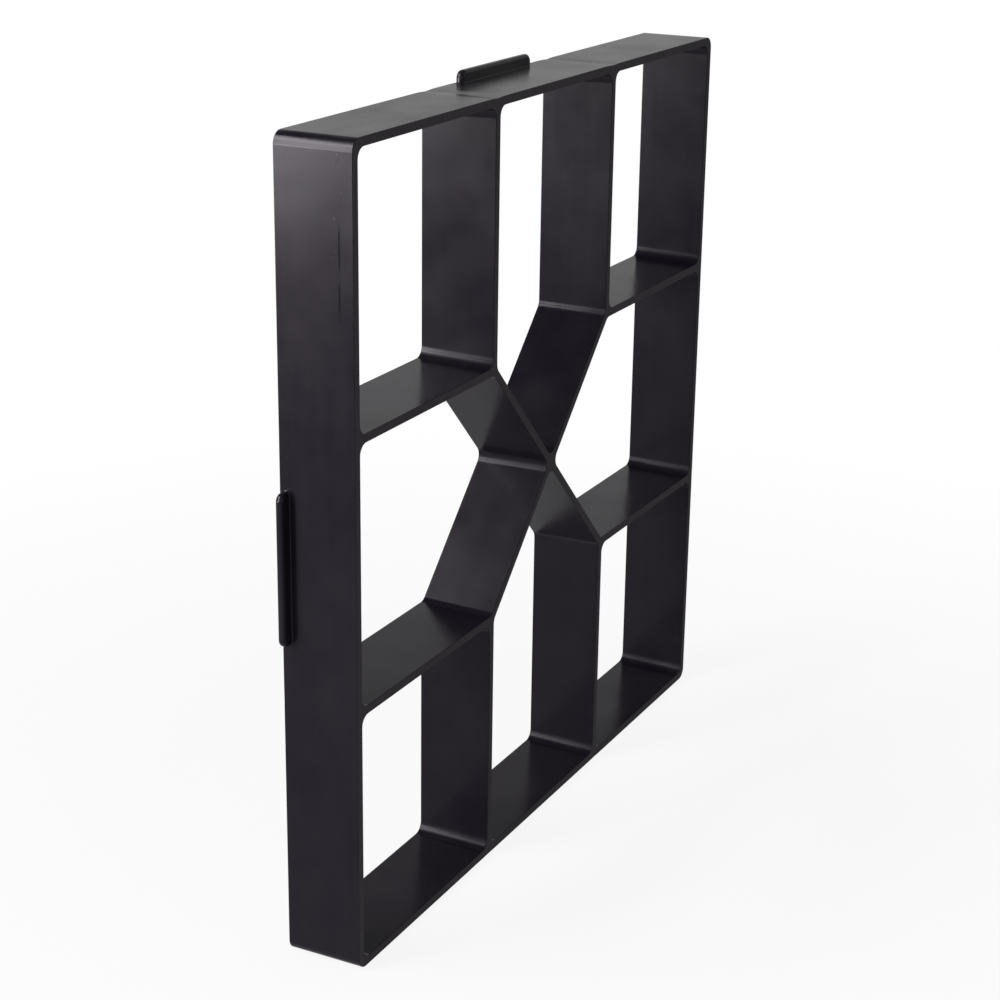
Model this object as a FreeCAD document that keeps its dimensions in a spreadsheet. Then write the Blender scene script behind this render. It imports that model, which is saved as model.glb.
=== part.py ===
"""Concrete path mould: one injection-moulded plastic frame with eight open cells.

The mould stands on edge, as it is stored. X runs along its width, Z points up, and
the ground rim, which lies on the soil when a path is cast, faces -Y. The origin is
the middle of the outer face that it stands on. Sizes are millimetres and degrees.
"""

import FreeCAD, Part
import Sketcher
import os

# Driving sizes: name in the sheet, value, meaning
SIZES = [
    ("side", 400, "Outer side of the square frame"),
    ("depth", 40, "Frame from ground rim to upper rim"),
    ("wall", 4.4, "Outer wall at the ground rim"),
    ("web", 4.3, "Inner web at the ground rim"),
    ("draft", 1.5, "Slope of every face in a cell, so that the cast stones let go"),
    ("outer_radius", 6, "Round of the frame's four outer corners"),
    ("cell_radius", 5.5, "Round of every corner inside a cell"),
    ("rim_bevel", 0.4, "Bevel along the edges of both rims"),
    ("tab_length", 75, "Finger tab along its wall"),
    ("tab_reach", 6.2, "Finger tab out from its wall"),
    ("tab_thickness", 4.2, "Finger tab from face to face"),
    ("tab_inset", 1, "Upper rim to the nearer face of a tab"),
    ("tab_corner", 4, "Round of a tab's two free corners"),
    ("tab_edge", 1.2, "Round of a tab's long edges"),
    ("tab_root", 0.5, "Fillet between a tab and its wall"),
]

HALF_SIDE = "Sizes.side / 2"
HALF_DEPTH = "Sizes.depth / 2"
HALF_WEB = "Sizes.web / 2"
# Three equal cells and two webs fill the frame from wall to wall, so this is
# the distance from the centre of the frame to the middle of a straight web
WEB_PLACE = "(Sizes.side - 2 * Sizes.wall + Sizes.web) / 6"
# Middle of an outer wall, where webs and tabs end inside it
WALL_MIDDLE = "Sizes.side / 2 - Sizes.wall / 2"
# What a sloped face gains from the ground rim to the upper rim
RISE = "Sizes.depth * tan(Sizes.draft * 1 deg)"

# Sketcher's own numbers for the origin, the upright axis and a line's two ends
ORIGIN, UPRIGHT = -1, -2
START, END = range(1, 3)

TINY = 1e-4

doc = FreeCAD.newDocument("PathMould")


def make_sheet():
    """Put the driving sizes in a spreadsheet, one named cell each."""
    sheet = doc.addObject("Spreadsheet::Sheet", "Sizes")
    for row, (name, number, meaning) in enumerate(SIZES, start=1):
        sheet.set(f"A{row}", meaning)
        sheet.set(f"B{row}", str(number))
        sheet.setAlias(f"B{row}", name)
    doc.recompute()
    return sheet


def value(expression):
    """Work out an expression over the sheet's sizes."""
    return float(sizes.evalExpression(expression))


def add_sketch(name, role, offsets, turn=0):
    """Add a sketch on a plane of the body, moved along the plane's axes and turned about its upright."""
    plane = next(item for item in mould.Origin.OriginFeatures if item.Role == role)
    sketch = mould.newObject("Sketcher::SketchObject", name)
    sketch.AttachmentSupport = (plane, [""])
    sketch.MapMode = "FlatFace"
    turned = FreeCAD.Rotation(FreeCAD.Vector(0, 1, 0), turn)
    sketch.AttachmentOffset = FreeCAD.Placement(FreeCAD.Vector(), turned)
    for axis, expression in offsets.items():
        sketch.setExpression(f"AttachmentOffset.Base.{axis}", expression)
    return sketch


def add_loop(sketch, corners):
    """Draw a closed loop of straight lines, each joined to the next, and give their numbers."""
    points = [FreeCAD.Vector(x, y, 0) for x, y in corners]
    following = points[1:] + points[:1]
    lines = [sketch.addGeometry(Part.LineSegment(*ends)) for ends in zip(points, following)]
    for line, after in zip(lines, lines[1:] + lines[:1]):
        add_rule(sketch, "Coincident", line, END, after, START)
    return lines


def add_rule(sketch, kind, *places):
    """Add a constraint that has no size."""
    sketch.addConstraint(Sketcher.Constraint(kind, *places))


def add_size(sketch, kind, name, expression, *places):
    """Add a dimension and bind it to the sheet."""
    dimension = sketch.addConstraint(Sketcher.Constraint(kind, *places, value(expression)))
    sketch.renameConstraint(dimension, name)
    sketch.setExpression(f"Constraints.{name}", expression)


def add_section(sketch, name, ground_span, upper_span):
    """Draw the section of a wall or web, from its span on the ground rim to that on the upper rim."""
    rim = value(HALF_DEPTH)
    near, far = [value(end) for end in ground_span]
    upper_near, upper_far = [value(end) for end in upper_span]
    ground, _, upper, _ = add_loop(sketch, [(near, -rim), (far, -rim), (upper_far, rim), (upper_near, rim)])
    add_rule(sketch, "Horizontal", ground)
    add_rule(sketch, "Horizontal", upper)
    add_size(sketch, "DistanceY", f"{name}_ground", HALF_DEPTH, ground, START, ORIGIN, START)
    add_size(sketch, "DistanceY", f"{name}_upper", HALF_DEPTH, ORIGIN, START, upper, START)
    add_size(sketch, "DistanceX", f"{name}_ground_near", ground_span[0], ORIGIN, START, ground, START)
    add_size(sketch, "DistanceX", f"{name}_ground_far", ground_span[1], ORIGIN, START, ground, END)
    add_size(sketch, "DistanceX", f"{name}_upper_near", upper_span[0], ORIGIN, START, upper, END)
    add_size(sketch, "DistanceX", f"{name}_upper_far", upper_span[1], ORIGIN, START, upper, START)


def add_web_section(sketch, name, place):
    """Draw the section of a web about its middle, thicker by one rise on each side at the upper rim."""
    add_section(sketch, name,
                (f"{place} - {HALF_WEB}", f"{place} + {HALF_WEB}"),
                (f"{place} - {HALF_WEB} - {RISE}", f"{place} + {HALF_WEB} + {RISE}"))


def add_pad(name, sketch, length, both_ways=False):
    """Pad a sketch, and stop if that adds nothing."""
    before = mould.Tip.Shape.Volume if mould.Tip else 0
    pad = mould.newObject("PartDesign::Pad", name)
    pad.Profile = sketch
    pad.SideType = "Symmetric" if both_ways else "One side"
    pad.setExpression("Length", length)
    doc.recompute()
    check_growth(pad, before)
    return pad


def add_pattern(name, feature, axis, angle, count):
    """Repeat a feature around an axis, and stop if that adds nothing."""
    pattern = mould.newObject("PartDesign::PolarPattern", name)
    pattern.Originals = [feature]
    pattern.Axis = axis
    pattern.Angle = angle
    pattern.Occurrences = count
    mould.Tip = pattern
    doc.recompute()
    check_growth(pattern, feature.Shape.Volume)


def dress_edges(kind, name, measure, size, wanted):
    """Round or bevel the edges of the shape so far that a test picks."""
    base = mould.Tip
    edges = [f"Edge{number}" for number, edge in enumerate(base.Shape.Edges, start=1) if wanted(edge)]
    if not edges:
        raise RuntimeError(f"{name} finds no edge")
    dressing = mould.newObject(f"PartDesign::{kind}", name)
    dressing.Base = (base, edges)
    dressing.setExpression(measure, f"Sizes.{size}")
    mould.Tip = dressing
    doc.recompute()
    print(f"{name}: {len(edges)} edges")


def add_fillet(name, radius, wanted):
    """Round the edges that a test picks."""
    dress_edges("Fillet", name, "Radius", radius, wanted)


def add_bevel(name, width, wanted):
    """Bevel the edges that a test picks."""
    dress_edges("Chamfer", name, "Size", width, wanted)


def check_growth(feature, before):
    """Stop if a feature adds no material."""
    growth = feature.Shape.Volume - before
    print(f"{feature.Name}: {growth / 1000:.1f} cubic centimetres")
    if growth <= 0:
        raise RuntimeError(f"{feature.Name} adds nothing")


def middle(edge):
    """Give the point half-way along an edge."""
    return edge.valueAt((edge.FirstParameter + edge.LastParameter) / 2)


def reach_out(edge):
    """Give how far the middle of an edge lies from the centre axis, towards the nearest side."""
    point = middle(edge)
    return max(abs(point.x), abs(point.z - value(HALF_SIDE)))


def is_level(edge):
    """Tell whether an edge stays at one distance between the rims."""
    return edge.BoundBox.YLength < TINY


def joins_rims(edge):
    """Tell whether an edge runs from one rim to the other."""
    heights = [vertex.Point.y for vertex in edge.Vertexes]
    return max(heights) - min(heights) > value("Sizes.depth") - TINY


def make_walls():
    """Pad one outer wall, straight outside and sloped inside, and repeat it on all four sides."""
    inside = f"{HALF_SIDE} - Sizes.wall"
    section = add_sketch("WallSection", "XY_Plane", {"z": HALF_SIDE})
    add_section(section, "wall", (inside, HALF_SIDE), (f"{inside} - {RISE}", HALF_SIDE))
    wall = add_pad("Wall", section, "Sizes.side", both_ways=True)
    centre_axis = (section, ["V_Axis"])
    add_pattern("Walls", wall, centre_axis, 360, 4)
    return centre_axis


def make_straight_webs(centre_axis):
    """Pad the two webs that hang from the top wall, and repeat them on all four sides."""
    section = add_sketch("StraightWebSection", "XY_Plane", {"z": f"{HALF_SIDE} + {WEB_PLACE}"})
    add_web_section(section, "right", WEB_PLACE)
    add_web_section(section, "left", f"-{WEB_PLACE}")
    webs = add_pad("StraightWeb", section, f"{WALL_MIDDLE} - {WEB_PLACE}")
    add_pattern("StraightWebs", webs, centre_axis, 360, 4)


def make_diagonal_webs(centre_axis):
    """Pad a web from one crossing of the straight webs to the opposite one, and turn it a quarter."""
    section = add_sketch("DiagonalWebSection", "XY_Plane", {"z": HALF_SIDE}, turn=45)
    add_web_section(section, "diagonal", "0")
    web = add_pad("DiagonalWeb", section, f"2 * sqrt(2) * {WEB_PLACE}", both_ways=True)
    add_pattern("DiagonalWebs", web, centre_axis, 90, 2)


def round_corners():
    """Round the corners of the cells and of the frame."""
    wall_middle = value(WALL_MIDDLE)
    add_fillet("CellCorners", "cell_radius",
               lambda edge: joins_rims(edge) and reach_out(edge) < wall_middle)
    add_fillet("OuterCorners", "outer_radius",
               lambda edge: joins_rims(edge) and reach_out(edge) > wall_middle)


def bevel_rims():
    """Take the sharpness off every edge of the two rims."""
    rim = value(HALF_DEPTH)
    add_bevel("RimEdges", "rim_bevel",
              lambda edge: is_level(edge) and abs(middle(edge).y) > rim - TINY)


def add_tabs():
    """Add a finger tab in the middle of the top wall and of the wall at its left."""
    tip = f"{HALF_SIDE} + Sizes.tab_reach"
    half, low, high = value("Sizes.tab_length / 2"), value(WALL_MIDDLE), value(tip)
    outline = add_sketch("TabOutline", "XZ_Plane", {"y": HALF_SIDE, "z": f"Sizes.tab_inset - {HALF_DEPTH}"})
    foot, right, end, left = add_loop(outline, [(-half, low), (half, low), (half, high), (-half, high)])
    add_rule(outline, "Horizontal", foot)
    add_rule(outline, "Vertical", right)
    add_rule(outline, "Vertical", left)
    add_rule(outline, "Symmetric", end, START, end, END, UPRIGHT)
    add_size(outline, "DistanceX", "length", "Sizes.tab_length", foot, START, foot, END)
    add_size(outline, "DistanceY", "foot", WALL_MIDDLE, ORIGIN, START, foot, START)
    add_size(outline, "DistanceY", "tip", tip, ORIGIN, START, end, START)
    tab = add_pad("Tab", outline, "Sizes.tab_thickness")
    add_pattern("Tabs", tab, (outline, ["N_Axis"]), 90, 2)


def round_tabs():
    """Round the free corners and edges of the tabs, and fill the corner at their roots."""
    outer_face = value(HALF_SIDE)
    upper_face = value(f"{HALF_DEPTH} - Sizes.tab_inset")
    lower_face = upper_face - value("Sizes.tab_thickness")
    add_fillet("TabCorners", "tab_corner",
               lambda edge: reach_out(edge) > outer_face + TINY and not is_level(edge))
    add_fillet("TabEdges", "tab_edge",
               lambda edge: reach_out(edge) > outer_face + TINY and is_level(edge))
    add_fillet("TabRoots", "tab_root",
               lambda edge: abs(reach_out(edge) - outer_face) < TINY
               and lower_face - TINY < middle(edge).y < upper_face + TINY)


def check_document():
    """Stop if an object of the document failed or the mould is not one sound solid."""
    for item in doc.Objects:
        if "Invalid" in item.State or "Error" in item.State:
            raise RuntimeError(f"{item.Name} failed: {item.State}")
    shape = mould.Shape
    if shape.isNull() or not shape.isValid() or len(shape.Solids) != 1:
        raise RuntimeError("the mould is not one valid solid")


sizes = make_sheet()
mould = doc.addObject("PartDesign::Body", "Mould")
mould.Label = "path_mould"
centre = make_walls()
make_straight_webs(centre)
make_diagonal_webs(centre)
round_corners()
bevel_rims()
add_tabs()
round_tabs()
doc.recompute()
check_document()

os.makedirs("parts", exist_ok=True)
mould.Shape.exportStep(f"parts/{mould.Label}.step")
box = mould.Shape.BoundBox
print(f"{mould.Label}: {mould.Shape.Volume / 1000:.1f} cubic centimetres, {len(mould.Shape.Faces)} faces")
print(f"box from {box.XMin:.2f}, {box.YMin:.2f}, {box.ZMin:.2f} "
      f"to {box.XMax:.2f}, {box.YMax:.2f}, {box.ZMax:.2f}")
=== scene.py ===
# %% [markdown]
# # A concrete path mould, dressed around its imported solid
#
# The object is a flat black plastic lattice, 400 mm square and 40 mm deep. It is laid on the ground,
# its eight cells are filled with concrete, and when the concrete stiffens the mould is lifted away by
# its finger tabs, which leaves a piece of path that looks like laid stones.
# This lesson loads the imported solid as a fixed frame, models the moulded skin of the lattice over it,
# gives it a satin black finish, and sets it in a plain white studio.

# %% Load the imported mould
import math

import bmesh
import bpy
from mathutils import Matrix, Quaternion, Vector


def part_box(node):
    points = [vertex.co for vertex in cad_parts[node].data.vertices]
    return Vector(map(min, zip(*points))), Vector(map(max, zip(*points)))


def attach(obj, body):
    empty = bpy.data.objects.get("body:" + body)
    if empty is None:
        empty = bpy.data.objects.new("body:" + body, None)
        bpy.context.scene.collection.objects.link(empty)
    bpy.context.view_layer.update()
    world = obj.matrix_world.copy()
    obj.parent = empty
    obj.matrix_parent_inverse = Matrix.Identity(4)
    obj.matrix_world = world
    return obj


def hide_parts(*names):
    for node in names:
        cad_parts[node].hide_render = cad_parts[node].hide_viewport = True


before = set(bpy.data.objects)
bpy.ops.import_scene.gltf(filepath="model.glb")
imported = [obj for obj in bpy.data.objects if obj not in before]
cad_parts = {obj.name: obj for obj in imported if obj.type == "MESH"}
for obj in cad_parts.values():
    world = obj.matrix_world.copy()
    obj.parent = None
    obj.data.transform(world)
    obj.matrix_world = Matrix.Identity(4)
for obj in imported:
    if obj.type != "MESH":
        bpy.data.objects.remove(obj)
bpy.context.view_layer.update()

print("packed nodes:", sorted(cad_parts))

# %% [markdown]
# ## The camera
#
# The mould stands on edge, seen from its left and a little from above, and the view narrows towards the
# right because the camera is only a little over a metre away. A camera can be set by eye, but straight
# edges in three directions are enough to work it out, so its place, its aim and its slight roll are
# written here as sizes in metres and degrees. The lens follows from how fast the mould narrows.

# %% Set the camera
CAMERA_PLACE = Vector((-0.9812, -0.4902, 0.5581))
CAMERA_AIM = Vector((-0.0109, 0.0046, 0.1780))
CAMERA_ROLL = math.radians(0.817)
CAMERA_LENS = 78.2
CAMERA_SENSOR = 36.0

lens = bpy.data.cameras.new("studio_camera")
lens.lens = CAMERA_LENS
lens.sensor_width = CAMERA_SENSOR
camera = bpy.data.objects.new("studio_camera", lens)
bpy.context.collection.objects.link(camera)
camera.location = CAMERA_PLACE
camera.rotation_mode = "QUATERNION"
level_view = (CAMERA_AIM - CAMERA_PLACE).to_track_quat("-Z", "Y")
camera.rotation_quaternion = level_view @ Quaternion((0, 0, 1), CAMERA_ROLL)
bpy.context.scene.camera = camera
print("camera to aim point:", round((CAMERA_AIM - CAMERA_PLACE).length, 3), "m")

# %% [markdown]
# ## The sizes of the lattice
#
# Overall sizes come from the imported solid, so the skin can't drift from it. Its box holds the square
# frame and two tabs: the right side and the foot have no tab, so they give the frame's half side, and
# what stands above the square is the reach of a tab. The rest are a moulder's sizes: walls of 4.4 mm,
# webs of 4.3 mm, and a draft of one and a half degrees, which lets the concrete slip out of the cells.

# %% Name the sizes
low_corner, high_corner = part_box("path_mould")
HALF_SIDE = high_corner.x
SIDE = 2 * HALF_SIDE
HALF_DEPTH = high_corner.y
DEPTH = 2 * HALF_DEPTH
TAB_REACH = high_corner.z - SIDE
WALL = 0.0044
WEB = 0.0043
DRAFT = math.radians(1.5)
CELL_RADIUS = 0.0055
OUTER_RADIUS = 0.006
print("side, depth and tab reach:", [round(size, 4) for size in (SIDE, DEPTH, TAB_REACH)])

# %% [markdown]
# ## The plan of the cells
#
# Seen flat, the pattern is a square of nine equal parts whose middle part is shared out by two
# diagonals. Eight outlines could be drawn point by point, but the pattern is quicker to fold out of a
# grid: a three by three grid, its middle face poked into four triangles, and each triangle joined to
# the part beside it. Every face is then one cell, measured to the middle of the webs, and an inset of
# half a web leaves the cell's opening. The outer walls are measured the same way, so all webs come out
# alike.

# %% Fold the cells out of a grid
GRID_PARTS = 3


def fold_cells(plan, web):
    """Eight flat faces, the openings that webs of this thickness leave between them."""
    half_grid = HALF_SIDE - WALL + WEB / 2
    bmesh.ops.create_grid(plan, x_segments=GRID_PARTS, y_segments=GRID_PARTS, size=half_grid)
    middle = min(plan.faces, key=lambda face: face.calc_center_median().length)
    shared_edges = list(middle.edges)
    bmesh.ops.poke(plan, faces=[middle])
    bmesh.ops.dissolve_edges(plan, edges=shared_edges)
    webs = bmesh.ops.inset_individual(plan, faces=list(plan.faces), thickness=web / 2,
                                      use_even_offset=True)
    bmesh.ops.delete(plan, geom=webs["faces"], context="FACES")


trial = bmesh.new()
fold_cells(trial, WEB)
print("corners of each cell:", sorted(len(face.verts) for face in trial.faces))
trial.free()

# %% [markdown]
# ## Rounded corners
#
# Plastic flows badly round a sharp corner and cracks there, so every corner of the mould is rounded,
# and the round corners also give the cast stones their soft look. Each outline is still flat, so its
# corners are rounded as vertices. The bevel is measured along the sides, so a corner of another angle
# needs another length: the radius times the tangent of half the turn.

# %% Round the corners of an outline
ARC_SEGMENTS = 8


def round_corners(plan, faces, radius):
    """Turns each corner of these flat faces into an arc of this radius."""
    lengths = {}
    for face in faces:
        for loop in face.loops:
            turn = math.pi - loop.calc_angle()
            length = round(radius * math.tan(turn / 2), 7)
            lengths.setdefault(length, []).append(loop.vert)
    for length, corners in lengths.items():
        bmesh.ops.bevel(plan, geom=corners, offset=length, offset_type="ABSOLUTE", affect="VERTICES",
                        segments=ARC_SEGMENTS, profile=0.5, material=-1)


trial = bmesh.new()
fold_cells(trial, WEB)
round_corners(trial, list(trial.faces), CELL_RADIUS)
print("corners of each rounded cell:", sorted(len(face.verts) for face in trial.faces))
trial.free()

# %% [markdown]
# ## The outer outline
#
# The outer outline is one square face with rounded corners. On the real mould the outer walls aren't
# dead flat: where a web joins from the inside the plastic is thicker, shrinks more as it cools and
# pulls the wall in by a fraction of a millimetre. These sink marks bend the reflections on the top
# wall and hardly show on the others, so they are modelled, and deeper there: the sides are cut into
# short lengths, points near a web move inwards, and the points that stay where they are go away again.

# %% Draw the outer outline
SIDE_CUTS = 199
SINK_DEPTH = 0.00008
TOP_SINK_DEPTH = 0.00034
SINK_REACH = 0.0045
SINK_SHARE = 0.01
WEB_PLACE = (SIDE - 2 * WALL + WEB) / (2 * GRID_PARTS)
NEAR = 1e-5


def sink(along):
    """The share of a sink mark's depth at this distance from the middle of a side."""
    nearest = (abs(along) - WEB_PLACE) / SINK_REACH
    return math.exp(-nearest * nearest)


def draw_outer(plan, inset):
    """One flat face, the frame's outline moved in by this much, with its sink marks."""
    half = HALF_SIDE - inset
    made = bmesh.ops.create_grid(plan, x_segments=1, y_segments=1, size=half)
    round_corners(plan, made["verts"][0].link_faces, OUTER_RADIUS - inset)
    straight = [edge for edge in plan.edges if edge.calc_length() > half]
    cut = bmesh.ops.subdivide_edges(plan, edges=straight, cuts=SIDE_CUTS)
    idle = []
    for vert in [item for item in cut["geom_inner"] if isinstance(item, bmesh.types.BMVert)]:
        across, along = (0, 1) if abs(vert.co.x) > abs(vert.co.y) else (1, 0)
        share = sink(vert.co[along])
        depth = TOP_SINK_DEPTH if vert.co.y > half - NEAR else SINK_DEPTH
        vert.co[across] -= math.copysign(depth * share, vert.co[across])
        if share < SINK_SHARE:
            idle.append(vert)
    bmesh.ops.dissolve_verts(plan, verts=idle)


trial = bmesh.new()
draw_outer(trial, 0.0)
print("points on the outer outline:", len(trial.verts))
trial.free()

# %% [markdown]
# ## Lofting the walls
#
# The walls join the outlines at the ground rim to those at the upper rim. They could be extruded, but
# two things change with the depth: the draft makes the webs thicker towards the upper rim, and the rims
# themselves are rounded over. So the mould is a loft: the same plan is drawn at a series of depths, each
# with its own web thickness, and the matching outlines are bridged. The rounding is a quarter circle,
# stepped through by its angle.

# %% List the depths of the loft
RIM_ROUND = 0.0004
RIM_STEPS = 4
WALL_STEPS = 4


def loft_sections():
    """Pairs of a depth and how far the rim's rounding opens the outlines there."""
    curve = []
    for step in range(RIM_STEPS + 1):
        angle = math.pi / 2 * step / RIM_STEPS
        curve.append((RIM_ROUND * (1 - math.cos(angle)), RIM_ROUND * (1 - math.sin(angle))))
    places = [(depth - HALF_DEPTH, opening) for depth, opening in curve]
    straight = DEPTH - 2 * RIM_ROUND
    for step in range(1, WALL_STEPS):
        places.append((RIM_ROUND - HALF_DEPTH + straight * step / WALL_STEPS, 0.0))
    places += [(HALF_DEPTH - depth, opening) for depth, opening in reversed(curve)]
    return places


print("sections of the loft:", len(loft_sections()))

# %% Draw one section
UPRIGHT = Matrix.Rotation(math.pi / 2, 4, "X")
# Centres are sorted to the centimetre, so that small differences between sections don't change the order
CENTRE_DIGITS = 2


def add_section(skin, depth, opening):
    """Adds the nine outlines of one section to the skin and gives the edges of each."""
    rise = (depth + HALF_DEPTH) * math.tan(DRAFT)
    plan = bmesh.new()
    fold_cells(plan, WEB + 2 * rise - 2 * opening)
    round_corners(plan, list(plan.faces), CELL_RADIUS)
    draw_outer(plan, opening)
    place = Matrix.Translation((0, depth, HALF_SIDE)) @ UPRIGHT
    bmesh.ops.transform(plan, matrix=place, verts=plan.verts)
    flat = bpy.data.meshes.new("section")
    plan.to_mesh(flat)
    plan.free()
    skin.from_mesh(flat)
    bpy.data.meshes.remove(flat)
    outlines = sorted(skin.faces, key=lambda face: face.calc_center_bounds().to_tuple(CENTRE_DIGITS))
    edges = [list(face.edges) for face in outlines]
    bmesh.ops.delete(skin, geom=outlines, context="FACES_ONLY")
    return edges


skin = bmesh.new()
sections = [add_section(skin, depth, opening) for depth, opening in loft_sections()]
print("outlines in each section:", len(sections[0]), "and points in all:", len(skin.verts))

# %% Bridge the sections
CM3_IN_M3 = 1e6

for lower, upper in zip(sections, sections[1:]):
    for lower_edges, upper_edges in zip(lower, upper):
        bmesh.ops.bridge_loops(skin, edges=lower_edges + upper_edges)
for rim in (sections[0], sections[-1]):
    rim_edges = [edge for edges in rim for edge in edges]
    bmesh.ops.triangle_fill(skin, edges=rim_edges, use_beauty=True, use_dissolve=False)
bmesh.ops.recalc_face_normals(skin, faces=skin.faces)
print("lofted skin:", len(skin.verts), "points and", len(skin.faces), "faces")
print("plastic in it:", round(skin.calc_volume() * CM3_IN_M3, 1), "cubic centimetres")

# %% [markdown]
# ## The finger tabs
#
# A tab is a ledge just below the upper rim, four fingers wide, that lifts the mould. It is moulded with
# the wall, so it isn't a block stuck on: its footprint is cut into the wall's outer face, the face is
# extruded outwards, and its edges are rounded. The small round at its root, where it meets the wall,
# keeps it from tearing off.

# %% Name the tab's sizes and a helper for round edges
TAB_LENGTH = 0.075
TAB_THICKNESS = 0.0042
TAB_INSET = 0.001
TAB_CORNER = 0.004
TAB_EDGE = 0.0017
TAB_ROOT = 0.0005
TAB_UPPER = HALF_DEPTH - TAB_INSET
TAB_LOWER = TAB_UPPER - TAB_THICKNESS
CORNER_STEPS = 8
EDGE_STEPS = 4
SHARP_BEND = math.radians(57)


def bevel_edges(skin, edges, size, segments):
    """Rounds these edges of the skin."""
    bmesh.ops.bevel(skin, geom=edges, offset=size, offset_type="OFFSET", affect="EDGES",
                    segments=segments, profile=0.5, material=-1, clamp_overlap=False)


print("tab between depths:", round(TAB_LOWER, 4), "and", round(TAB_UPPER, 4), "m")

# %% Pull the tabs out of the walls


def add_tab(skin, outward):
    """A finger tab in the middle of the wall that faces this way."""
    along = outward.cross(Vector((0, 1, 0)))
    foot = Vector((0, 0, HALF_SIDE)) + outward * HALF_SIDE

    def height(point):
        return (point - foot).dot(outward)

    def reach(point):
        return abs((point - foot).dot(along))

    def wall_faces():
        centres = [(face, face.calc_center_median()) for face in skin.faces]
        return [(face, centre) for face, centre in centres
                if abs(height(centre)) < NEAR and reach(centre) < TAB_LENGTH / 2]

    def tab_edges():
        middles = [(edge, (edge.verts[0].co + edge.verts[1].co) / 2) for edge in skin.edges]
        return [(edge, point) for edge, point in middles
                if height(point) > -NEAR and reach(point) < TAB_LENGTH]

    cuts = [(foot + along * TAB_LENGTH / 2 * side, along) for side in (-1, 1)]
    cuts += [(Vector((0, depth, 0)), Vector((0, 1, 0))) for depth in (TAB_LOWER, TAB_UPPER)]
    for place, direction in cuts:
        wall = {face for face, centre in wall_faces()
                if abs(centre.y - TAB_LOWER) < TAB_UPPER - TAB_LOWER}
        for face in list(wall):
            wall.update(face.edges)
            wall.update(face.verts)
        bmesh.ops.bisect_plane(skin, geom=list(wall), plane_co=place, plane_no=direction, dist=NEAR)
    footprint = [face for face, centre in wall_faces() if TAB_LOWER < centre.y < TAB_UPPER]
    pulled = bmesh.ops.extrude_discrete_faces(skin, faces=footprint)
    bmesh.ops.translate(skin, vec=outward * TAB_REACH, verts=pulled["faces"][0].verts)
    corners = [edge for edge, point in tab_edges() if height(point) > TAB_REACH - NEAR
               and reach(point) > TAB_LENGTH / 2 - NEAR]
    bevel_edges(skin, corners, TAB_CORNER, CORNER_STEPS)
    free_edges = [edge for edge, point in tab_edges() if height(point) > NEAR
                  and min(abs(point.y - TAB_LOWER), abs(point.y - TAB_UPPER)) < NEAR]
    bevel_edges(skin, free_edges, TAB_EDGE, EDGE_STEPS)
    skin.normal_update()
    roots = [edge for edge, point in tab_edges() if height(point) < NEAR
             and edge.calc_face_angle_signed() < -SHARP_BEND]
    bevel_edges(skin, roots, TAB_ROOT, EDGE_STEPS)
    print("footprint", len(footprint), "face,", len(corners), "corners,", len(free_edges), "edges,",
          len(roots), "edges at the root")


for outward in (Vector((0, 0, 1)), Vector((-1, 0, 0))):
    add_tab(skin, outward)
bmesh.ops.recalc_face_normals(skin, faces=skin.faces)
print("skin with tabs:", len(skin.verts), "points and", len(skin.faces), "faces")
print("plastic in it:", round(skin.calc_volume() * CM3_IN_M3, 1), "cubic centimetres")
print("open edges:", sum(1 for edge in skin.edges if not edge.is_manifold))

# %% [markdown]
# ## One moulded piece
#
# The real mould comes out of its tool in one shot, so the skin is one object. It stands for the packed
# solid, which stays behind it for collisions, and it rides on the only body there is. Smooth shading
# alone would smear light over the flat walls next to each small rounding. Cutting every edge into more
# loops would cure that, but weighting the normals by face area keeps the walls flat without new faces.

# %% Make the mould's object
for face in skin.faces:
    face.smooth = True
mesh = bpy.data.meshes.new("path_mould_skin")
skin.to_mesh(mesh)
skin.free()
mould = bpy.data.objects.new("path_mould_skin", mesh)
bpy.context.collection.objects.link(mould)
weighted = mould.modifiers.new("flat_faces", "WEIGHTED_NORMAL")
weighted.keep_sharp = True
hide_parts("path_mould")
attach(mould, "root")
print(mould.name, "has", sum(len(face.vertices) - 2 for face in mesh.polygons), "triangles")

# %% [markdown]
# ## Marks of the tool
#
# No moulded face is even. The steel that shaped it was milled and polished along each wall, so the plastic
# carries faint streaks the same way. It cooled in patches, which leaves soft blotches, and it shrank a
# little unevenly, so the walls have long shallow waves. All three could be painted on an image, but noise
# does it at any size. The streaks are noise that changes fast across the depth of the mould and slowly
# along its walls, the blotches and waves are even noise. They are packed in one node group, so that
# colour, gloss and bump agree about where a mark is.

# %% Make the group of tool marks
STREAKS_ALONG = 9.0
STREAKS_ACROSS = 330.0
BLOTCH_SCALE = 55.0
WAVE_SCALE = 17.0


def add_noise(tree, coordinates, scale, detail):
    """A noise texture on these coordinates, with one scale for each axis."""
    stretch = tree.nodes.new("ShaderNodeMapping")
    stretch.inputs["Scale"].default_value = scale
    noise = tree.nodes.new("ShaderNodeTexNoise")
    noise.inputs["Scale"].default_value = 1.0
    noise.inputs["Detail"].default_value = detail
    tree.links.new(coordinates, stretch.inputs["Vector"])
    tree.links.new(stretch.outputs["Vector"], noise.inputs["Vector"])
    return noise.outputs["Fac"]


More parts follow.
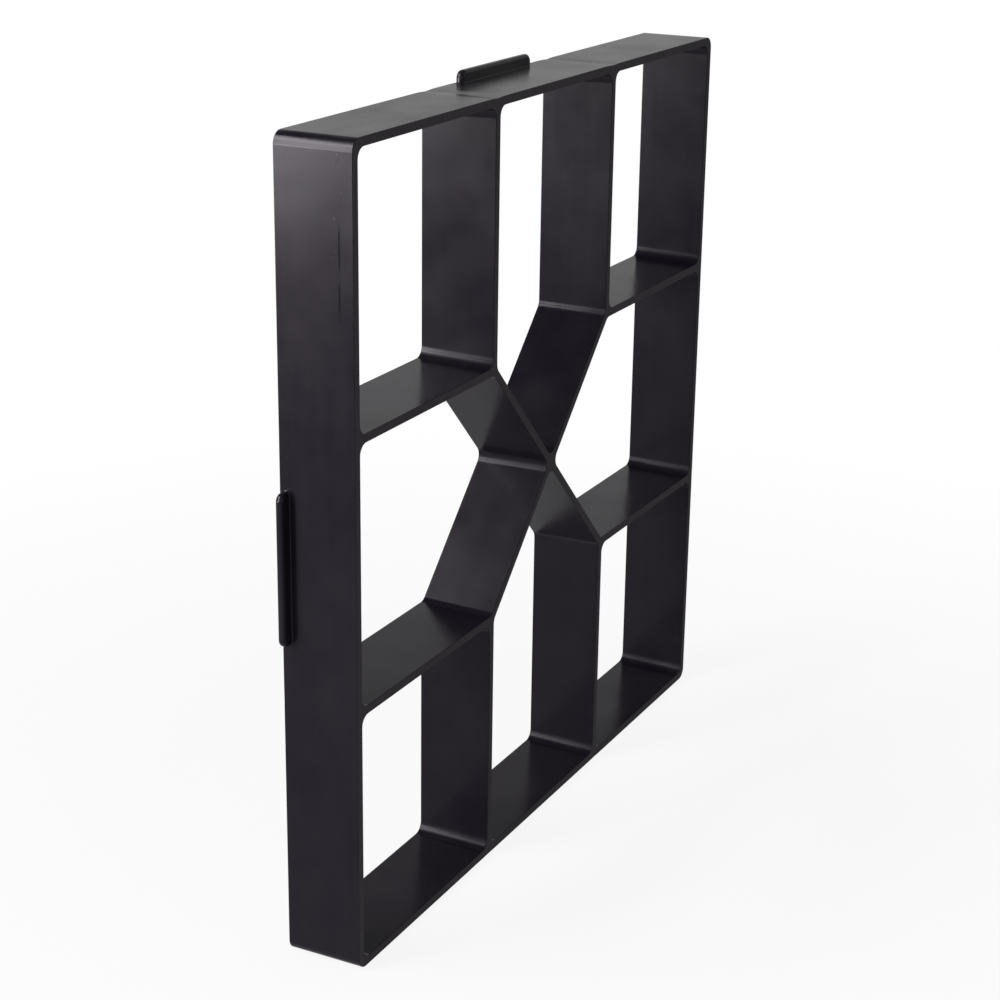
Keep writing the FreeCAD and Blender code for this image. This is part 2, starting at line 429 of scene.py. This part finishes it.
def make_tool_marks():
    """A group that turns a place on the mould into the strength of its streaks, blotches and waves."""
    group = bpy.data.node_groups.new("tool_marks", "ShaderNodeTree")
    group.interface.new_socket("Place", in_out="INPUT", socket_type="NodeSocketVector")
    place = group.nodes.new("NodeGroupInput").outputs["Place"]
    marks = group.nodes.new("NodeGroupOutput")
    # Scale on each axis, and detail
    kinds = {
        "Streaks": ((STREAKS_ALONG, STREAKS_ACROSS, STREAKS_ALONG), 2.0),
        "Blotches": ((BLOTCH_SCALE,) * 3, 3.0),
        "Waves": ((WAVE_SCALE,) * 3, 1.0),
    }
    for name, (scale, detail) in kinds.items():
        group.interface.new_socket(name, in_out="OUTPUT", socket_type="NodeSocketFloat")
        group.links.new(add_noise(group, place, scale, detail), marks.inputs[name])
    return group


tool_marks = make_tool_marks()
print("sockets of the group:", [socket.name for socket in tool_marks.interface.items_tree])

# %% [markdown]
# ## Satin black plastic
#
# The plastic is black polypropylene, almost without colour, with a faint violet cast. Where a wall
# slides along the steel as the mould is pushed out, the steel is polished and the plastic comes out
# satin. The rims only lift off the steel, so it is left rough there and they are dull. The tabs are as
# smooth as the walls. Rounded corners are polished by hand, which leaves them a shade glossier. One
# material does it all: the surface's own normal tells the rims, the walls and the corners apart, and
# what lies past the walls is a tab.

# %% Place the marks and find the dull faces and the rounded corners
# Flat faces lie at multiples of an eighth of a turn, where the sine of four times the angle is nought
EIGHTHS = 4.0
DULL_FACING = (0.55, 0.95)
CORNER_BEND = (0.4, 1.0)


def add_math(tree, operation, first, second):
    """A math node on two values, each a socket or a plain number."""
    node = tree.nodes.new("ShaderNodeMath")
    node.operation = operation
    for socket, value in zip(node.inputs, (first, second)):
        if isinstance(value, bpy.types.NodeSocket):
            tree.links.new(value, socket)
        else:
            socket.default_value = value
    return node.outputs["Value"]


def spread(tree, value, low, high, to_low, to_high):
    """Maps a value from one range to another, and holds it there."""
    node = tree.nodes.new("ShaderNodeMapRange")
    for socket, number in zip(node.inputs[1:5], (low, high, to_low, to_high)):
        socket.default_value = number
    tree.links.new(value, node.inputs["Value"])
    return node.outputs["Result"]


def blend_marks(tree, strengths, shares):
    """Adds up mark strengths, each times its share."""
    total = 0.0
    for mark, share in zip(strengths, shares):
        total = add_math(tree, "ADD", add_math(tree, "MULTIPLY", mark, share), total)
    return total


plastic = bpy.data.materials.new("satin_black_plastic")
plastic.use_nodes = True
tree = plastic.node_tree
shader = tree.nodes["Principled BSDF"]
places = tree.nodes.new("ShaderNodeTexCoord")
marks = tree.nodes.new("ShaderNodeGroup")
marks.node_tree = tool_marks
tree.links.new(places.outputs["Object"], marks.inputs["Place"])
facing = tree.nodes.new("ShaderNodeSeparateXYZ")
tree.links.new(places.outputs["Normal"], facing.inputs["Vector"])
dull = spread(tree, add_math(tree, "ABSOLUTE", facing.outputs["Y"], 0.0), *DULL_FACING, 0.0, 1.0)
spot = tree.nodes.new("ShaderNodeSeparateXYZ")
tree.links.new(places.outputs["Object"], spot.inputs["Vector"])
off_side = add_math(tree, "ABSOLUTE", spot.outputs["X"], 0.0)
off_level = add_math(tree, "ABSOLUTE", add_math(tree, "SUBTRACT", spot.outputs["Z"], HALF_SIDE), 0.0)
past_wall = add_math(tree, "SUBTRACT", add_math(tree, "MAXIMUM", off_side, off_level), HALF_SIDE)
dull = add_math(tree, "MULTIPLY", dull, spread(tree, past_wall, TAB_ROOT / 2, TAB_ROOT, 1.0, 0.0))
turn = add_math(tree, "ARCTAN2", facing.outputs["Z"], facing.outputs["X"])
off_flat = add_math(tree, "SINE", add_math(tree, "MULTIPLY", turn, EIGHTHS), 0.0)
rounded = spread(tree, add_math(tree, "ABSOLUTE", off_flat, 0.0), *CORNER_BEND, 0.0, 1.0)
print("marks in the plastic:", [socket.name for socket in marks.outputs])

# %% [markdown]
# ## Scuffs, and dust with a painted sheen
#
# The left wall has been slid along others in a stack: a thin dark line runs beside the ground rim, broken
# where the walls didn't touch, with a few pale specks above it. A scuff has no depth to speak of, so it is
# colour and not shape. The line is a narrow band across the depth of the mould, stretched noise breaks it
# into dashes, and the specks are what is left of a fine noise above a high level. The top wall alone gets
# clouds of soft noise in a paler grey. They are partly thin dust and partly a painted sheen, which stands
# in for uneven highlights on that face.

# %% Draw the scuffs, and the dust with its painted sheen
LEFT_FACE = (-0.999 * HALF_SIDE, -0.997 * HALF_SIDE)
TOP_FACE = (0.998 * SIDE, 0.999 * SIDE)
SCUFF_DEPTH = -0.0128
SCUFF_HALF = 0.0006
SCUFF_SPAN = (0.318, 0.326, 0.358, 0.366)
DASHES_ALONG = 60.0
DASH_LEVELS = (0.4, 0.5)
DASH_STRENGTH = 0.8
SPECK_REACH = 0.007
SPECK_SCALE = 620.0
SPECK_LEVELS = (0.74, 0.80)
SPECK_SPAN = (0.310, 0.390, 0.394, 0.396)
CLOUDS_ALONG = 24.0
CLOUDS_ACROSS = 60.0
CLOUD_LEVELS = (0.3, 0.7)


def between(tree, value, span):
    """A mask that rises over the first two numbers of a span and falls over the last two."""
    rising = spread(tree, value, span[0], span[1], 0.0, 1.0)
    return add_math(tree, "MULTIPLY", rising, spread(tree, value, span[2], span[3], 1.0, 0.0))


on_wall = spread(tree, spot.outputs["X"], *LEFT_FACE, 1.0, 0.0)
off_line = add_math(tree, "ABSOLUTE", add_math(tree, "SUBTRACT", spot.outputs["Y"], SCUFF_DEPTH), 0.0)
on_line = add_math(tree, "MULTIPLY", on_wall, spread(tree, off_line, 0.0, SCUFF_HALF, 1.0, 0.0))
breaks = add_noise(tree, places.outputs["Object"], (1.0, 1.0, DASHES_ALONG), detail=1.0)
dashes = spread(tree, breaks, *DASH_LEVELS, 0.0, DASH_STRENGTH)
scuff = add_math(tree, "MULTIPLY", add_math(tree, "MULTIPLY", on_line, dashes),
                 between(tree, spot.outputs["Z"], SCUFF_SPAN))
near_line = add_math(tree, "MULTIPLY", on_wall, spread(tree, off_line, 0.0, SPECK_REACH, 1.0, 0.0))
grain = add_noise(tree, places.outputs["Object"], (SPECK_SCALE,) * 3, detail=0.0)
grit = spread(tree, grain, *SPECK_LEVELS, 0.0, 1.0)
specks = add_math(tree, "MULTIPLY", add_math(tree, "MULTIPLY", near_line, grit),
                  between(tree, spot.outputs["Z"], SPECK_SPAN))
# The top wall's clouds are partly dust and partly a painted sheen: a paler grey that stands in for uneven
# highlights
on_top = spread(tree, spot.outputs["Z"], *TOP_FACE, 0.0, 1.0)
cloud = add_noise(tree, places.outputs["Object"], (CLOUDS_ALONG, CLOUDS_ACROSS, CLOUDS_ALONG), detail=2.0)
dust_and_sheen = add_math(tree, "MULTIPLY", on_top, spread(tree, cloud, *CLOUD_LEVELS, 0.0, 1.0))
print("scuff at depth:", SCUFF_DEPTH, "m, between heights", SCUFF_SPAN[0], "and", SCUFF_SPAN[-1], "m")

# %% Colour the plastic
BLACK = (0.0072, 0.0048, 0.0104, 1)
PALER_BLACK = (0.0135, 0.0108, 0.0160, 1)
DULL_BLACK = (0.0425, 0.0380, 0.0435, 1)
SCUFF_BLACK = (0.0030, 0.0022, 0.0038, 1)
SPECK_GREY = (0.0600, 0.0600, 0.0560, 1)
# Paler grey of the top wall's clouds, partly dust and partly painted sheen
DUST_AND_SHEEN_GREY = (0.0360, 0.0350, 0.0355, 1)
# Shares of the streaks, the blotches and the waves
MOTTLE_SHARES = (0.2, 0.4, 0.4)
MOTTLE_LEVELS = (0.25, 0.75)


def blend_colours(tree, share, first, second):
    """Mixes two colours, each a socket or a plain colour, by a share that changes over the surface."""
    node = tree.nodes.new("ShaderNodeMix")
    node.data_type = "RGBA"
    tree.links.new(share, node.inputs["Factor"])
    for socket, colour in zip((node.inputs["A"], node.inputs["B"]), (first, second)):
        if isinstance(colour, bpy.types.NodeSocket):
            tree.links.new(colour, socket)
        else:
            socket.default_value = colour
    return node.outputs["Result"]


mottle = blend_marks(tree, marks.outputs, MOTTLE_SHARES)
marked = spread(tree, mottle, *MOTTLE_LEVELS, 0.0, 1.0)
colour = blend_colours(tree, marked, BLACK, PALER_BLACK)
colour = blend_colours(tree, dull, colour, DULL_BLACK)
colour = blend_colours(tree, scuff, colour, SCUFF_BLACK)
colour = blend_colours(tree, specks, colour, SPECK_GREY)
# Mix in the top wall's clouds, partly dust and partly painted sheen
colour = blend_colours(tree, dust_and_sheen, colour, DUST_AND_SHEEN_GREY)
tree.links.new(colour, shader.inputs["Base Color"])
print("blacks from", BLACK[:3], "to", DULL_BLACK[:3])

# %% [markdown]
# ## Gloss and relief
#
# How black plastic looks depends on what it mirrors more than on its colour. The walls mirror the room
# softly, a little sharper or softer from mark to mark, and the rims hardly at all. The waves and blotches
# also tilt the surface by a fraction of a degree. That is far too little to model, but it is enough to
# stir the reflections, so it is a bump. A plain specular level below the usual half keeps the plastic from
# looking lacquered. The walls' roughness stays on one side of 0.27, because the denoiser takes smoother
# faces for mirrors and would draw a line where the two kinds meet.

# %% Set gloss and relief
# Shares of the streaks, the blotches and the waves
POLISH_SHARES = (0.1, 0.4, 0.5)
RELIEF_SHARES = (0.02, 0.4, 5.0)
POLISH_LEVELS = (0.3, 0.7)
SMOOTHEST_WALL = 0.155
ROUGHEST_WALL = 0.268
RIM_ROUGHNESS = 0.78
SCUFF_POLISH = 0.3
CORNER_POLISH = 0.75
PLASTIC_IOR = 1.49
SHEEN_LEVEL = 0.25
SHEEN_TINT = (1.0, 0.94, 1.0, 1)
RELIEF = 0.0001

buffing = blend_marks(tree, marks.outputs, POLISH_SHARES)
polish = spread(tree, buffing, *POLISH_LEVELS, SMOOTHEST_WALL, ROUGHEST_WALL)
polish = add_math(tree, "MULTIPLY", polish, spread(tree, scuff, 0.0, 1.0, 1.0, SCUFF_POLISH))
polish = add_math(tree, "MULTIPLY", polish, spread(tree, rounded, 0.0, 1.0, 1.0, CORNER_POLISH))
rims = add_math(tree, "MULTIPLY", dull, RIM_ROUGHNESS)
tree.links.new(add_math(tree, "MAXIMUM", polish, rims), shader.inputs["Roughness"])
relief = tree.nodes.new("ShaderNodeBump")
relief.inputs["Strength"].default_value = 1.0
relief.inputs["Distance"].default_value = RELIEF
tree.links.new(blend_marks(tree, marks.outputs, RELIEF_SHARES), relief.inputs["Height"])
tree.links.new(relief.outputs["Normal"], shader.inputs["Normal"])
shader.inputs["IOR"].default_value = PLASTIC_IOR
shader.inputs["Specular IOR Level"].default_value = SHEEN_LEVEL
shader.inputs["Specular Tint"].default_value = SHEEN_TINT
mesh.materials.append(plastic)
print("nodes in the plastic:", len(tree.nodes))

# %% [markdown]
# ## The floor
#
# The floor is a sheet of white paper that has no edge in sight. Paper alone would render grey where the
# lamps don't reach, so rays from the camera see most of its white as light of its own, and further out
# all of it. What is left of the paper near the mould keeps its shadow. Glossy faces see the paper darker
# near the mould, where it keeps light off the paper, and darker to its left and in front of it, as the
# reflections in the real one show.

# %% Lay the floor
FLOOR_HALF = 12.0
PAPER = (0.86, 0.86, 0.86, 1)

floor_plan = bmesh.new()
bmesh.ops.create_grid(floor_plan, x_segments=1, y_segments=1, size=FLOOR_HALF)
floor_mesh = bpy.data.meshes.new("floor")
floor_plan.to_mesh(floor_mesh)
floor_plan.free()
floor = bpy.data.objects.new("floor", floor_mesh)
bpy.context.collection.objects.link(floor)
print("floor side:", 2 * FLOOR_HALF, "m")

# %% Whiten the floor
WHITE_NEAR = 0.88
NEAR_RADIUS = 0.2
FAR_RADIUS = 0.7
MIRRORED_NEAR = 0.5
MIRRORED_RADIUS = 2.0
DIM_SIDE = -1.2
DIM_SHARE = 0.48
FRONT_EDGE = -0.5
FRONT_SHARE = 0.2

paper = bpy.data.materials.new("white_paper")
paper.use_nodes = True
tree = paper.node_tree
sheet = tree.nodes["Principled BSDF"]
sheet.inputs["Base Color"].default_value = PAPER
sheet.inputs["Roughness"].default_value = 1.0
sheet.inputs["Specular IOR Level"].default_value = 0.0
glow = tree.nodes.new("ShaderNodeEmission")
floor_places = tree.nodes.new("ShaderNodeTexCoord")
away = tree.nodes.new("ShaderNodeVectorMath")
away.operation = "LENGTH"
tree.links.new(floor_places.outputs["Object"], away.inputs[0])
path = tree.nodes.new("ShaderNodeLightPath")
seen = path.outputs["Is Camera Ray"]
gloss = add_math(tree, "MAXIMUM", path.outputs["Is Glossy Ray"], path.outputs["Is Transmission Ray"])
seen_white = spread(tree, away.outputs["Value"], NEAR_RADIUS, FAR_RADIUS, WHITE_NEAR, 1.0)
share = add_math(tree, "ADD", add_math(tree, "MULTIPLY", seen, seen_white), gloss)
mirrored = spread(tree, away.outputs["Value"], NEAR_RADIUS, MIRRORED_RADIUS, MIRRORED_NEAR, 1.0)
floor_spot = tree.nodes.new("ShaderNodeSeparateXYZ")
tree.links.new(floor_places.outputs["Object"], floor_spot.inputs["Vector"])
dimmed = spread(tree, floor_spot.outputs["X"], DIM_SIDE, 0.0, DIM_SHARE, 1.0)
in_front = spread(tree, floor_spot.outputs["Y"], FRONT_EDGE, 0.0, FRONT_SHARE, 1.0)
mirrored = add_math(tree, "MULTIPLY", mirrored, add_math(tree, "MULTIPLY", dimmed, in_front))
strength = add_math(tree, "ADD", seen, add_math(tree, "MULTIPLY", gloss, mirrored))
tree.links.new(strength, glow.inputs["Strength"])
blend = tree.nodes.new("ShaderNodeMixShader")
tree.links.new(share, blend.inputs["Fac"])
tree.links.new(sheet.outputs["BSDF"], blend.inputs[1])
tree.links.new(glow.outputs["Emission"], blend.inputs[2])
tree.links.new(blend.outputs["Shader"], tree.nodes["Material Output"].inputs["Surface"])
floor_mesh.materials.append(paper)
print("floor whitened from", NEAR_RADIUS, "to", FAR_RADIUS, "m around the mould")

# %% [markdown]
# ## The white room
#
# Behind the floor is a white backdrop, and the rest of the studio is a dim room that fills the shadows.
# A box of walls could be built, but a world that answers each kind of ray does the same: the camera sees
# plain white, glossy faces see a backdrop that ends some way up and is a little darker in front and near
# the floor, and all other light is one soft level. The Standard view transform shows colours as they are
# written.

# %% Whiten the room
ROOM_LIGHT = 0.42
HORIZON_SHARE = 0.72
HORIZON_TOP = 0.33
BACKDROP_LOW = 0.37
BACKDROP_TOP = 0.62
CEILING_SHARE = 0.12
FRONT_GLOSS = 0.5
BACK_GLOSS = 0.58
FRONT_TO_BACK = (-0.35, 0.15)
WHITE = (1, 1, 1, 1)

world = bpy.data.worlds.new("white_room")
world.use_nodes = True
bpy.context.scene.world = world
tree = world.node_tree
room = tree.nodes["Background"]
room.inputs["Color"].default_value = WHITE
path = tree.nodes.new("ShaderNodeLightPath")
directions = tree.nodes.new("ShaderNodeTexCoord")
heading = tree.nodes.new("ShaderNodeSeparateXYZ")
tree.links.new(directions.outputs["Generated"], heading.inputs["Vector"])
low_down = spread(tree, heading.outputs["Z"], BACKDROP_LOW, BACKDROP_TOP, 1.0, CEILING_SHARE)
behind = spread(tree, heading.outputs["Y"], *FRONT_TO_BACK, FRONT_GLOSS, BACK_GLOSS)
horizon = spread(tree, heading.outputs["Z"], 0.0, HORIZON_TOP, HORIZON_SHARE, 1.0)
backdrop = add_math(tree, "MULTIPLY", horizon, add_math(tree, "MULTIPLY", low_down, behind))
gloss = add_math(tree, "MAXIMUM", path.outputs["Is Glossy Ray"], path.outputs["Is Transmission Ray"])
plain = add_math(tree, "MULTIPLY", add_math(tree, "SUBTRACT", 1.0, gloss), ROOM_LIGHT)
lit = add_math(tree, "ADD", plain, add_math(tree, "MULTIPLY", gloss, backdrop))
tree.links.new(add_math(tree, "MAXIMUM", lit, path.outputs["Is Camera Ray"]), room.inputs["Strength"])
bpy.context.scene.view_settings.view_transform = "Standard"
print("room light:", ROOM_LIGHT, "of white")

# %% [markdown]
# ## The lamps
#
# Three soft lamps stand behind the mould at its left. The low one is what the left wall mirrors,
# brightest at its top. The other two join in one tall shape, the bright band on the round corner above
# it. Point lamps would leave hard sparks on satin plastic, so all are broad panels, given by how bright
# their face is compared with white.

# %% Set up the lamps
# Name, place, aim, width, height and brightness of each panel
PANELS = [
    ("low_panel", (-1.65, 1.28, 0.17), (-0.2, 0.0, 0.17), 0.7, 0.22, 23.0),
    ("side_panel", (-1.39, 0.74, 0.61), (-1.39, 0.0, 0.61), 0.52, 0.66, 11.5),
    ("high_panel", (-0.93, 0.74, 1.19), (-0.93, 0.0, 1.19), 0.95, 0.50, 12.6),
]


def add_softbox(name, place, aim, width, height, radiance):
    """A soft lamp of this size at this place, turned to the aim, as bright as this many times white."""
    lamp = bpy.data.lights.new(name, "AREA")
    lamp.shape = "RECTANGLE"
    lamp.size = width
    lamp.size_y = height
    lamp.energy = radiance * math.pi * width * height
    softbox = bpy.data.objects.new(name, lamp)
    bpy.context.collection.objects.link(softbox)
    softbox.location = place
    softbox.rotation_euler = (Vector(aim) - Vector(place)).to_track_quat("-Z", "Y").to_euler()
    softbox.visible_camera = False
    print(name, "gives", round(lamp.energy, 1), "watts")


for panel in PANELS:
    add_softbox(*panel)
